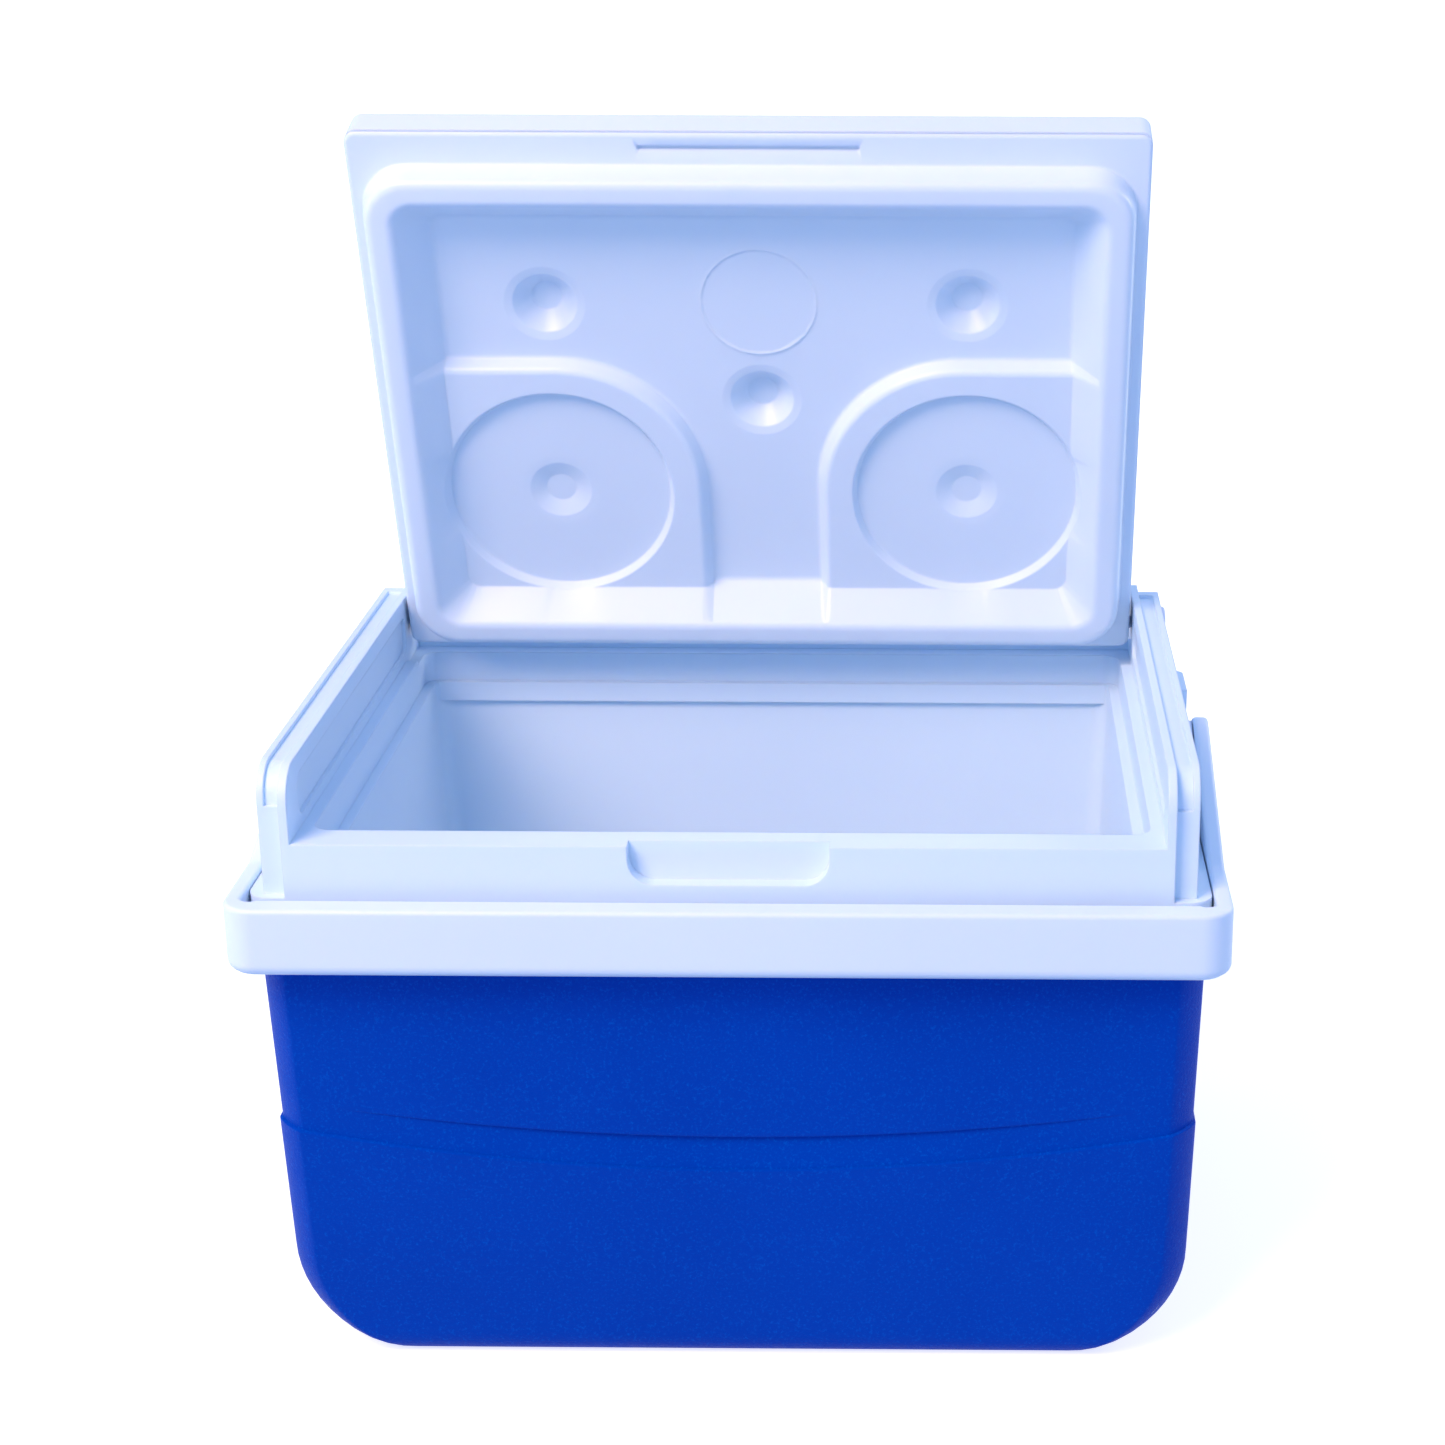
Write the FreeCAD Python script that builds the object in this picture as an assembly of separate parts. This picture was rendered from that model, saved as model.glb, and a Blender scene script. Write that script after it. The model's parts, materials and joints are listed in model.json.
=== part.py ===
import FreeCAD, Part
import math
import os
from FreeCAD import Vector

# Small hard-sided cooler chest: tapered outer tub, insulated inner liner with side rails,
# a double-wall lid hinged between the rails, and a bail handle that swings over the lid.
# Millimetres. Origin: middle of the base on the ground, +X to the right, +Y to the back,
# +Z up. The lid is stored standing open and the handle folded down at the front.

# ---- tub -----------------------------------------------------------------------------
DRAFT = math.radians(1.8)          # taper of every moulded wall
TUB_HALF_X = 130.6                 # lower part's outside, carried up to the top edge
TUB_HALF_Y = 93.4
TUB_TOP = 134.0
TUB_WALL = 2.4
TUB_FLOOR = 2.8
TUB_CORNER = 6.0                   # upright corners, in plan
TUB_SIDE_ROUND = 33.0              # where the sides turn under
TUB_FRONT_ROUND = 7.0              # where front and back turn under
LIP_HEIGHT = 6.0                   # thin lip that goes up inside the liner's skirt
LIP_WALL = 1.2
BAND_LEDGE = 0.7                   # below the lower curved line the wall stands this much out
BAND_UNDERCUT = 1.5                # the front between the two lines leans in under the upper one
BAND_FADE = 114.0                  # the undercut runs out to nothing this far from the middle
BAND_LOW_MIDDLE = 61.0             # height of each curved line at the middle
BAND_HIGH_MIDDLE = 71.0
BAND_RISE = 14.5                   # how far the lower line climbs towards the corners
BAND_HIGH_RISE = 12.3

# ---- liner, rim and rails ------------------------------------------------------------
WALL = 2.2
COLLAR_HALF_X = 129.8
COLLAR_HALF_Y = 92.5
COLLAR_TOP = 143.2
RIM_TOP = 158.5
RIM_HALF_X = 119.3                 # front rim face between the two rail fronts
BACK_RIM_DROP = 1.4                # back rim lies lower, so the lid's heel can swing
RIDGE_RISE = 2.0                   # ridge along its back edge that closes the gap under the lid
RIDGE_THICK = 2.0
RAIL_OUT = 125.6
RAIL_IN = 116.9
RAIL_TOP = 178.8
RAIL_FRONT_SET = 3.0               # outer part of the rail's front stands back this far
RAIL_NOSE = 10.0                   # round at the top front of each rail
RAIL_TAIL = 8.0                    # inner wall of the rail runs on behind the outer one
GROOVE_FROM = 119.3                # shallow groove along the rail's top
GROOVE_TO = 123.7
GROOVE_DEEP = 1.0
GROOVE_DROP = 0.5                  # how far it runs down the rail's front, below the nose
POCKET_DEEP = 1.2                  # shallow pocket in the rail's inner face
MOUTH_HALF_X = 113.4               # recess that takes the lid's plug ring
MOUTH_FRONT = 11.0                 # from the rim's front face
MOUTH_BACK = 9.0                   # from the back face
MOUTH_DEEP = 11.0
MOUTH_CORNER = 5.0
CAVITY_SET = 3.2                   # cavity wall stands inside the mouth by this much
CAVITY_FLOOR = 15.0
CAVITY_CORNER = 5.0
SCOOP_HALF = 27.0                  # finger scoop in the middle of the front rim
SCOOP_HIGH = 11.0
SCOOP_DEEP = 4.6
SCOOP_CORNER = 7.0

# ---- lid, drawn closed and then swung open ---------------------------------------------
LID_HALF_X = 116.0
LID_LONG = 177.1
LID_THICK = 14.1
LID_WALL = 2.2
LID_CORNER = 3.5
LID_REST = RIM_TOP + 0.3           # height of the lid's underside when closed
HINGE_HEEL = 3.2                   # hinge axis to the lid's back edge
HINGE_HIGH = 9.9                   # hinge axis above the lid's underside
HINGE_Y = 83.5
LID_OPEN = 72.7                    # degrees from closed, as stored
RING_HALF_X = 112.4
RING_HEEL = 5.0                    # back edge of the lid to the ring
RING_TOE = 9.7                     # front edge of the lid to the ring
RING_DEEP = 9.5
RING_WIDE = 7.4
RING_CORNER = 14.0
RING_DRAFT = math.radians(8.0)
PANEL_RISE = 4.5                   # inner panel lies this far above the flange face
PANEL_SLOPE = 9.8                  # width of the slope from the ring down to the panel
CUP_X = 63.3
CUP_FROM_HEEL = 56.8
CUP_RADIUS = 35.0
CUP_DEEP = 6.0
PLATFORM_RISE = 4.6
PLATFORM_RADIUS = 45.0
DISC_DEEP = 2.6
DIMPLE_TOP = 4.6                   # radius at the dimple's closed end
DIMPLE_MOUTH = 11.0
DIMPLES_IN_PANEL = ((-CUP_X, 120.5), (CUP_X, 120.5), (0.0, 88.2))
DIMPLES_IN_CUPS = ((-CUP_X, CUP_FROM_HEEL), (CUP_X, CUP_FROM_HEEL))
SLOT_HALF = 32.0
SLOT_WIDE = 1.6
SLOT_FROM_TOE = 3.6
PIN_RADIUS = 2.0
PIN_FIT = 0.05
PIN_HEAD = 5.0
PIN_INNER = 105.0                  # the pin ends here, inside the lid
PIN_HEAD_THICK = 2.6

# ---- bail handle, folded down ----------------------------------------------------------
ARM_OUT = 134.8
ARM_IN = 130.25
PIVOT_Y = -6.5
PIVOT_Z = 156.0
HUB_RADIUS = 10.0
BAR_FRONT = -104.5
BAR_BACK = -96.5
BAR_TOP = 144.4
BAR_BOTTOM = 124.8
BAR_CORNER = 9.0
BAR_INNER_CORNER = 4.0
ARM_KINK_Y = -68.5                 # the arm's top edge is level up to here, then climbs
PIVOT_RADIUS = 4.0
PIVOT_FIT = 0.06
PIVOT_INNER = 117.5
PIVOT_CAP = 7.0
PIVOT_CAP_THICK = 1.6               # the cap sits in a counterbore, flush with the arm
PIVOT_CAP_GAP = 0.15
SPACER_RADIUS = 9.0
SPACER_GAP = 0.4
LUG_Y = (4.0, 23.0)                # guide lug behind the pivot, on the rail's outer face
LUG_Z = (160.5, 171.5)
LUG_OUT = 129.2

FOAM_GAP = 0.3
FLOOR_BOARD_TOP = CAVITY_FLOOR - WALL - FOAM_GAP


def box(x0, x1, y0, y1, z0, z1):
    return Part.makeBox(x1 - x0, y1 - y0, z1 - z0, Vector(x0, y0, z0))


def rod_x(x0, x1, y, z, radius):
    return Part.makeCylinder(radius, x1 - x0, Vector(x0, y, z), Vector(1, 0, 0))


def rounded_outline(x0, x1, y0, y1, z, radius):
    """Rectangle with round corners, lying level at height z."""
    s = radius * math.sqrt(0.5)
    centres = ((x1 - radius, y0 + radius, -90), (x1 - radius, y1 - radius, 0),
               (x0 + radius, y1 - radius, 90), (x0 + radius, y0 + radius, 180))
    arcs = []
    for cx, cy, start in centres:
        ends = []
        for turn in (start, start + 45, start + 90):
            a = math.radians(turn)
            ends.append(Vector(cx + radius * math.cos(a), cy + radius * math.sin(a), z))
        arcs.append(Part.Arc(*ends).toShape())
    edges = []
    for here, after in zip(arcs, arcs[1:] + arcs[:1]):
        edges.append(here)
        edges.append(Part.makeLine(here.Vertexes[-1].Point, after.Vertexes[0].Point))
    return Part.Wire(edges)


def tapered_block(x0, x1, y0, y1, z_wide, z_narrow, radius, draft=DRAFT):
    """Block that is x0..x1 by y0..y1 at z_wide and drawn in by the draft at z_narrow."""
    inset = abs(z_wide - z_narrow) * math.tan(draft)
    wide = rounded_outline(x0, x1, y0, y1, z_wide, radius)
    narrow = rounded_outline(x0 + inset, x1 - inset, y0 + inset, y1 - inset, z_narrow, radius)
    return Part.makeLoft([narrow, wide], True, True)


def extrude_outline(points, direction):
    wire = Part.makePolygon(list(points) + [points[0]])
    return Part.Face(wire).extrude(direction)


def mirrored(shape):
    return shape.mirror(Vector(0, 0, 0), Vector(1, 0, 0))


def both_sides(shape):
    return [shape, mirrored(shape)]


def cut_all(shape, tools):
    for tool in tools:
        shape = shape.cut(tool)
    return shape


def fuse_all(shapes):
    first = shapes[0]
    return first.multiFuse(shapes[1:]).removeSplitter()


def export(name, shape):
    shape.exportStep("parts/" + name + ".step")
    solids = shape.Solids
    print(name, "solids", len(solids), "valid", shape.isValid(), "cm3", round(shape.Volume / 1000, 2))


# ---- tub -----------------------------------------------------------------------------
def under_round(half_across, half_along, z_low, radius):
    """Tapered bar along Y whose two lower edges turn under with a radius."""
    low = half_across - (TUB_TOP - z_low) * math.tan(DRAFT)
    y = -half_along
    block = extrude_outline([Vector(-low, y, z_low), Vector(low, y, z_low),
                             Vector(half_across, y, TUB_TOP), Vector(-half_across, y, TUB_TOP)],
                            Vector(0, 2 * half_along, 0))
    bottom = [e for e in block.Edges
              if abs(e.BoundBox.ZMax - z_low) < 1e-6 and e.BoundBox.YLength > half_along]
    return block.makeFillet(radius, bottom)


def tub_block(grow, floor):
    """The tub's outside (grow 0, floor 0) or the same form drawn in behind it (grow negative)."""
    half_x = TUB_HALF_X + grow
    half_y = TUB_HALF_Y + grow
    block = tapered_block(-half_x, half_x, -half_y, half_y, TUB_TOP, 0.0, TUB_CORNER)
    sides = under_round(half_x, half_y + 5, floor, TUB_SIDE_ROUND + grow)
    ends = under_round(half_y, half_x + 5, floor, TUB_FRONT_ROUND)
    ends.rotate(Vector(0, 0, 0), Vector(0, 0, 1), 90)
    return block.common(sides).common(ends)


def below_curve(middle, rise):
    """Everything below a shallow smile-shaped curve, right through front to back."""
    far = TUB_HALF_X + 10
    left = Vector(-far, -TUB_HALF_Y - 10, middle + rise)
    right = Vector(far, -TUB_HALF_Y - 10, middle + rise)
    deepest = Vector(0, -TUB_HALF_Y - 10, middle)
    curve = Part.Arc(left, deepest, right).toShape()
    base_left = Vector(-far, -TUB_HALF_Y - 10, -10)
    base_right = Vector(far, -TUB_HALF_Y - 10, -10)
    wire = Part.Wire([curve, Part.makeLine(right, base_right),
                      Part.makeLine(base_right, base_left), Part.makeLine(base_left, left)])
    return Part.Face(wire).extrude(Vector(0, 2 * TUB_HALF_Y + 20, 0))


def band_undercut():
    """Wedge that is cut from the front between the two lines, deepest at the middle of the upper one."""
    low_y = -TUB_HALF_Y + (TUB_TOP - BAND_LOW_MIDDLE) * math.tan(DRAFT) + BAND_LEDGE
    height = BAND_HIGH_MIDDLE - BAND_LOW_MIDDLE
    lean = math.atan(BAND_UNDERCUT / height - math.tan(DRAFT))
    curve_gain = (BAND_HIGH_RISE / height) * (BAND_FADE / (TUB_HALF_X + 10)) ** 2
    radius = BAND_FADE ** 2 / (2 * BAND_UNDERCUT * (1 + curve_gain))
    along = Vector(0, math.sin(lean), math.cos(lean))
    start = Vector(0, low_y - radius / math.cos(lean), BAND_LOW_MIDDLE) - along * 30
    bowed = Part.makeCylinder(radius, 80, start, along)
    between = below_curve(BAND_HIGH_MIDDLE, BAND_HIGH_RISE).cut(
        below_curve(BAND_LOW_MIDDLE, BAND_RISE))
    return bowed.common(between).common(box(-BAND_FADE, BAND_FADE, -TUB_HALF_Y - 5, 0, 0, TUB_TOP))


def outer_tub():
    upper = tub_block(-BAND_LEDGE, 0.0)
    lower = tub_block(0.0, 0.0).common(below_curve(BAND_LOW_MIDDLE, BAND_RISE))
    front_cut = band_undercut()
    back_cut = front_cut.mirror(Vector(0, 0, 0), Vector(0, 1, 0))
    outside = cut_all(fuse_all([upper, lower]), [front_cut, back_cut])
    inside = tub_block(-TUB_WALL - BAND_LEDGE, TUB_FLOOR)
    inside = inside.fuse(box(-TUB_HALF_X + 12, TUB_HALF_X - 12, -TUB_HALF_Y + 12, TUB_HALF_Y - 12,
                             TUB_TOP - 5, TUB_TOP + 20))
    lip = lip_ring(TUB_TOP - 0.5, TUB_TOP + LIP_HEIGHT)
    return outside.cut(inside).fuse(lip).removeSplitter()


# ---- liner ---------------------------------------------------------------------------
FRONT = -COLLAR_HALF_Y
BACK = COLLAR_HALF_Y
MOUTH_Y0 = FRONT + MOUTH_FRONT
MOUTH_Y1 = BACK - MOUTH_BACK
CAVITY_X = MOUTH_HALF_X - CAVITY_SET
CAVITY_Y0 = MOUTH_Y0 + CAVITY_SET
CAVITY_Y1 = MOUTH_Y1                # no ledge at the back
CAVITY_TOP = RIM_TOP - MOUTH_DEEP


def basin(grow, z_low, z_high):
    """The food space (grow 0) or a tapered form around it."""
    inset = (CAVITY_TOP - z_high) * math.tan(DRAFT) - grow
    return tapered_block(-CAVITY_X + inset, CAVITY_X - inset, CAVITY_Y0 + inset,
                         CAVITY_Y1 - inset, z_high, z_low, CAVITY_CORNER + grow)


def rail():
    """Right-hand side rail, a tall thin wall with a round nose."""
    back = BACK - RAIL_TAIL - 1.0
    inner = box(RAIL_IN, GROOVE_FROM, FRONT, BACK - 1.0, COLLAR_TOP, RAIL_TOP)
    outer = box(GROOVE_FROM, RAIL_OUT, FRONT + RAIL_FRONT_SET, back, COLLAR_TOP, RAIL_TOP)
    shapes = []
    for wall in (inner, outer):
        nose = [e for e in wall.Edges
                if abs(e.BoundBox.ZMin - RAIL_TOP) < 1e-6 and e.BoundBox.XLength > 1
                and e.BoundBox.YMax < 0]
        shapes.append(wall.makeFillet(RAIL_NOSE, nose))
    return shapes[0].fuse(shapes[1])


def rail_groove():
    """Groove along the rail's top that turns over the nose and stops on the front."""
    y0 = FRONT + RAIL_FRONT_SET + GROOVE_DEEP
    y1 = BACK - RAIL_TAIL - 5.0
    floor = RAIL_TOP - GROOVE_DEEP
    stop = RAIL_TOP - RAIL_NOSE - GROOVE_DROP
    block = box(GROOVE_FROM, GROOVE_TO, FRONT - 5, y1, stop, RAIL_TOP + 5)
    core = box(GROOVE_FROM - 1, GROOVE_TO + 1, y0, BACK + 5, stop - 5, floor)
    nose = [e for e in core.Edges
            if abs(e.BoundBox.ZMin - floor) < 1e-6 and e.BoundBox.XLength > 1 and e.BoundBox.YMax < 0]
    core = core.makeFillet(RAIL_NOSE - GROOVE_DEEP, nose)
    return block.cut(core)


def rail_pocket():
    """Shallow pocket in the inner face of the right-hand rail, with round ends."""
    y0 = FRONT + 13.0
    y1 = BACK - 22.0
    z0 = RIM_TOP + 3.0
    z1 = RAIL_TOP - 5.5
    block = box(RAIL_IN - 1, RAIL_IN + POCKET_DEEP, y0, y1, z0, z1)
    ends = [e for e in block.Edges if e.BoundBox.XLength > 1 and e.BoundBox.YLength < 1e-6
            and e.BoundBox.ZLength < 1e-6]
    return block.makeFillet(4.0, ends)


def finger_scoop():
    block = box(-SCOOP_HALF, SCOOP_HALF, FRONT - 5, FRONT + SCOOP_DEEP, RIM_TOP - SCOOP_HIGH,
                RIM_TOP + 5)
    low = [e for e in block.Edges
           if abs(e.BoundBox.ZMax - (RIM_TOP - SCOOP_HIGH)) < 1e-6 and e.BoundBox.YLength > 1]
    return block.makeFillet(SCOOP_CORNER, low)


def lip_ring(z0, z1):
    """Thin upright ring: the tub's lip, and the slot under the collar that takes it."""
    x = TUB_HALF_X - TUB_WALL - BAND_LEDGE
    y = TUB_HALF_Y - TUB_WALL - BAND_LEDGE
    t = LIP_WALL
    outer = tapered_block(-x - t, x + t, -y - t, y + t, z0, z1, TUB_CORNER - 2, 0.0)
    inner = tapered_block(-x, x, -y, y, z0 - 1, z1 + 1, TUB_CORNER - 2 - t, 0.0)
    return outer.cut(inner)


def inner_liner():
    collar = tapered_block(-COLLAR_HALF_X, COLLAR_HALF_X, FRONT, BACK, TUB_TOP, COLLAR_TOP,
                           TUB_CORNER, 0.0)
    body_y0 = FRONT + RAIL_FRONT_SET
    side_rim = box(-RAIL_OUT, RAIL_OUT, body_y0, BACK - RAIL_TAIL - 1.0, COLLAR_TOP, RIM_TOP)
    front_rim = box(-RIM_HALF_X, RIM_HALF_X, FRONT, FRONT + 30, COLLAR_TOP, RIM_TOP)
    back_rim = box(-RIM_HALF_X, RIM_HALF_X, BACK - 40, BACK - 1.0, COLLAR_TOP, RIM_TOP)
    solids = [collar, side_rim, front_rim, back_rim]
    ridge_front = BACK - 1.0 - RIDGE_THICK
    ridge = box(-RAIL_IN - 1, RAIL_IN + 1, ridge_front, BACK - 1.0, RIM_TOP - 3, RIM_TOP + RIDGE_RISE)
    solids.append(ridge)
    solids += both_sides(rail())
    lug = box(RAIL_OUT - 1, LUG_OUT, LUG_Y[0], LUG_Y[1], LUG_Z[0], LUG_Z[1])
    slope = [e for e in lug.Edges
             if abs(e.BoundBox.YMin - LUG_Y[1]) < 1e-6 and abs(e.BoundBox.XMin - LUG_OUT) < 1e-6]
    solids += both_sides(lug.makeFillet(3.0, slope))
    outside = fuse_all(solids)

    hollow_low = tapered_block(-COLLAR_HALF_X + WALL + 1.6, COLLAR_HALF_X - WALL - 1.6,
                               FRONT + WALL + 1.6, BACK - WALL - 1.6, TUB_TOP - 1,
                               COLLAR_TOP - WALL, TUB_CORNER - 3, 0.0)
    rim_x = RAIL_OUT - WALL
    hollow_rim = box(-rim_x, rim_x, body_y0 + WALL, BACK - RAIL_TAIL - 1.0 - WALL,
                     TUB_TOP, RIM_TOP - BACK_RIM_DROP - WALL)
    rail_core = box(GROOVE_FROM - 0.2, GROOVE_TO - 0.3, body_y0 + RAIL_NOSE,
                    BACK - RAIL_TAIL - 14.0, COLLAR_TOP, RAIL_TOP - GROOVE_DEEP - WALL)
    shell = cut_all(outside, [hollow_low, hollow_rim] + both_sides(rail_core))

    mouth_solid = tapered_block(-MOUTH_HALF_X - WALL, MOUTH_HALF_X + WALL, MOUTH_Y0 - WALL,
                                MOUTH_Y1 + WALL, RIM_TOP - BACK_RIM_DROP - 0.5,
                                CAVITY_TOP - WALL, MOUTH_CORNER + WALL, 0.0)
    basin_solid = basin(WALL, CAVITY_FLOOR - WALL, CAVITY_TOP - 1.0)
    basin_shell = mouth_solid.fuse(basin_solid)
    mouth = tapered_block(-MOUTH_HALF_X, MOUTH_HALF_X, MOUTH_Y0, MOUTH_Y1, RIM_TOP + 5,
                          CAVITY_TOP, MOUTH_CORNER, 0.0)
    cavity = basin(0.0, CAVITY_FLOOR, CAVITY_TOP)
    heel_room = box(-RAIL_IN, RAIL_IN, MOUTH_Y1 - 14, ridge_front, RIM_TOP - BACK_RIM_DROP, RIM_TOP + 30)
    basin_shell = cut_all(basin_shell, [mouth, cavity])
    shell = shell.cut(mouth).fuse(basin_shell)
    cuts = [heel_room, finger_scoop(), lip_ring(TUB_TOP - 1, TUB_TOP + LIP_HEIGHT)]
    cuts += both_sides(rail_groove())
    cuts += both_sides(rail_pocket())
    cuts += both_sides(rod_x(RAIL_IN - 2, RAIL_OUT + 2, HINGE_Y, LID_REST + HINGE_HIGH, PIN_RADIUS))
    cuts += both_sides(rod_x(PIVOT_INNER, RAIL_OUT + 2, PIVOT_Y, PIVOT_Z, PIVOT_RADIUS))
    return cut_all(shell, cuts)


# ---- insulation ------------------------------------------------------------------------
def insulation():
    """Five boards between the tub and the liner."""
    room = tub_block(-TUB_WALL - BAND_LEDGE - FOAM_GAP, TUB_FLOOR + FOAM_GAP)
    top = TUB_TOP - 1.0
    side_x = CAVITY_X - 6.0
    room = room.common(box(-150, 150, -120, 120, 0, top))
    wrap = basin(WALL + FOAM_GAP, CAVITY_FLOOR - WALL - FOAM_GAP, CAVITY_TOP)
    floor = room.common(box(-150, 150, -120, 120, 0, FLOOR_BOARD_TOP))
    walls = room.cut(wrap).common(box(-150, 150, -120, 120, FLOOR_BOARD_TOP + FOAM_GAP, top))
    return {
        "insulation_floor": floor,
        "insulation_front": walls.common(box(-150, 150, -120, CAVITY_Y0 + 6.0, 0, top)),
        "insulation_back": walls.common(box(-150, 150, CAVITY_Y1 - 6.0, 120, 0, top)),
        "insulation_left": walls.common(box(-150, -side_x, CAVITY_Y0 + 6.3, CAVITY_Y1 - 6.3, 0, top)),
        "insulation_right": walls.common(box(side_x, 150, CAVITY_Y0 + 6.3, CAVITY_Y1 - 6.3, 0, top)),
    }


# ---- lid -------------------------------------------------------------------------------
HEEL_Y = HINGE_Y + HINGE_HEEL
TOE_Y = HEEL_Y - LID_LONG
LID_UPPER = LID_REST + LID_THICK


def swing_open(shape):
    """Turn a shape that is drawn with the lid closed to where the lid stands."""
    turned = shape.copy()
    turned.rotate(Vector(0, HINGE_Y, LID_REST + HINGE_HIGH), Vector(1, 0, 0), -LID_OPEN)
    return turned


def lid_block(inset, z0, z1, radius):
    return tapered_block(-LID_HALF_X + inset, LID_HALF_X - inset, TOE_Y + inset, HEEL_Y - inset,
                         z0, z1, radius, 0.0)


def cup_well(grow, z0, z1):
    wells = []
    for side in (-1, 1):
        wells.append(Part.makeCylinder(CUP_RADIUS + grow, z1 - z0,
                                       Vector(side * CUP_X, HEEL_Y - CUP_FROM_HEEL, z0)))
    return wells


def lid_top_shell():
    skin = lid_block(0.0, LID_REST + LID_WALL, LID_UPPER, LID_CORNER)
    upper_edges = [e for e in skin.Edges if e.BoundBox.ZMin > LID_UPPER - 1e-6]
    skin = skin.makeFillet(1.5, upper_edges)
    hollow = lid_block(LID_WALL, LID_REST, LID_UPPER - LID_WALL, 2.0)
    for side in (-1, 1):
        x0, x1 = sorted((side * (PIN_INNER - 3), side * LID_HALF_X))
        hollow = hollow.cut(box(x0, x1, HINGE_Y - 5.5, HEEL_Y, LID_REST, LID_UPPER))
    hollow = cut_all(hollow, cup_well(LID_WALL, LID_UPPER - CUP_DEEP - LID_WALL, LID_UPPER))
    shell = cut_all(skin.cut(hollow), cup_well(0.0, LID_UPPER - CUP_DEEP, LID_UPPER + 1))
    hole = rod_x(PIN_INNER - PIN_FIT, LID_HALF_X + 5, HINGE_Y, LID_REST + HINGE_HIGH,
                 PIN_RADIUS + PIN_FIT)
    return cut_all(shell, both_sides(hole))


RING_Y0 = TOE_Y + RING_TOE
RING_Y1 = HEEL_Y - RING_HEEL


def ring_block(inset, z_wide, z_narrow, draft, radius):
    return tapered_block(-RING_HALF_X + inset, RING_HALF_X - inset, RING_Y0 + inset,
                         RING_Y1 - inset, z_wide, z_narrow, radius, draft)


def panel_pocket(grow, rise):
    """Hollow inside the ring: wide at the crest, narrower at the panel."""
    crest_inset = RING_DEEP * math.tan(RING_DRAFT) + RING_WIDE
    crest_z = LID_REST - RING_DEEP
    slope = math.atan(PANEL_SLOPE / (RING_DEEP + PANEL_RISE))
    return ring_block(crest_inset - grow, crest_z - 0.01, LID_REST + PANEL_RISE + rise, slope,
                      RING_CORNER + 6)


def platform(z0, z1):
    """Raised corner of the panel around one cup: straight toe and heel, quarter-round between."""
    cx = CUP_X - 2.0
    cy = HEEL_Y - CUP_FROM_HEEL
    far_x = RING_HALF_X
    round_part = Part.makeCylinder(PLATFORM_RADIUS, z1 - z0, Vector(cx, cy, z0))
    toe = box(cx, far_x, cy - PLATFORM_RADIUS, cy, z0, z1)
    heel = box(cx - PLATFORM_RADIUS, far_x, cy, RING_Y1, z0, z1)
    return fuse_all([round_part, toe, heel])


def dimple(spot, floor, top, grow):
    """Cone that opens at the panel's face and closes at the lid's upper skin."""
    x, from_heel = spot
    low = floor - 4.0
    lean = (DIMPLE_MOUTH - DIMPLE_TOP) / (top - floor)
    mouth = DIMPLE_TOP + lean * (top - low)
    return Part.makeCone(mouth + grow, DIMPLE_TOP + grow, top - low,
                         Vector(x, HEEL_Y - from_heel, low))


PANEL_FACE = LID_REST + PANEL_RISE
PLATE_FACE = PANEL_FACE - PLATFORM_RISE
DISC_FACE = PLATE_FACE + DISC_DEEP
SKIN_FACE = LID_UPPER - LID_WALL
CUP_FLOOR_FACE = SKIN_FACE - CUP_DEEP


def dimples(grow, shorter):
    cones = [dimple(spot, PANEL_FACE, SKIN_FACE - shorter, grow) for spot in DIMPLES_IN_PANEL]
    cones += [dimple(spot, DISC_FACE, CUP_FLOOR_FACE - shorter, grow) for spot in DIMPLES_IN_CUPS]
    return cones


def above_platforms():
    """Room over the lowered parts of the panel, so that the skin there is one wall thick."""
    room = panel_pocket(0.0, 20.0)
    over_discs = cup_well(WALL, PLATE_FACE, DISC_FACE + WALL)
    shapes = []
    for shape in both_sides(platform(PLATE_FACE + WALL, LID_UPPER)):
        shapes.append(cut_all(shape.common(room), over_discs))
    return shapes + cup_well(WALL + 0.8, CUP_FLOOR_FACE - 0.4, LID_UPPER)


def lid_inner_shell():
    flange = lid_block(0.0, LID_REST, LID_REST + LID_WALL, LID_CORNER)
    ring = ring_block(0.0, LID_REST, LID_REST - RING_DEEP, RING_DRAFT, RING_CORNER)
    hat = panel_pocket(LID_WALL, LID_WALL)
    channel = ring_block(LID_WALL, LID_REST + LID_WALL + 1, LID_REST - RING_DEEP + LID_WALL,
                         RING_DRAFT, RING_CORNER - LID_WALL).cut(hat)
    shell = fuse_all([flange, ring, hat]).cut(channel)
    above_discs = box(-150, 150, -150, 150, DISC_FACE + 0.5, LID_UPPER)
    cones = [cone.common(above_discs) for cone in dimples(1.5, 0.2)]
    pocket = cut_all(panel_pocket(0.0, 0.0), both_sides(platform(PLATE_FACE, PANEL_FACE + 1)))
    inside_ring = ring_block(3.4, LID_REST - RING_DEEP - 1, LID_UPPER, 0.0, RING_CORNER)
    discs = [well.common(inside_ring) for well in cup_well(0.0, PLATE_FACE - 5, DISC_FACE)]
    shell = cut_all(shell, above_platforms()).multiFuse(cones)
    shell = cut_all(shell, [pocket] + discs + dimples(0.0, 1.8))
    slot_y = TOE_Y + SLOT_FROM_TOE
    slot = box(-SLOT_HALF, SLOT_HALF, slot_y, slot_y + SLOT_WIDE, LID_REST - 1, LID_REST + 1.2)
    return shell.cut(slot)


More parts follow.
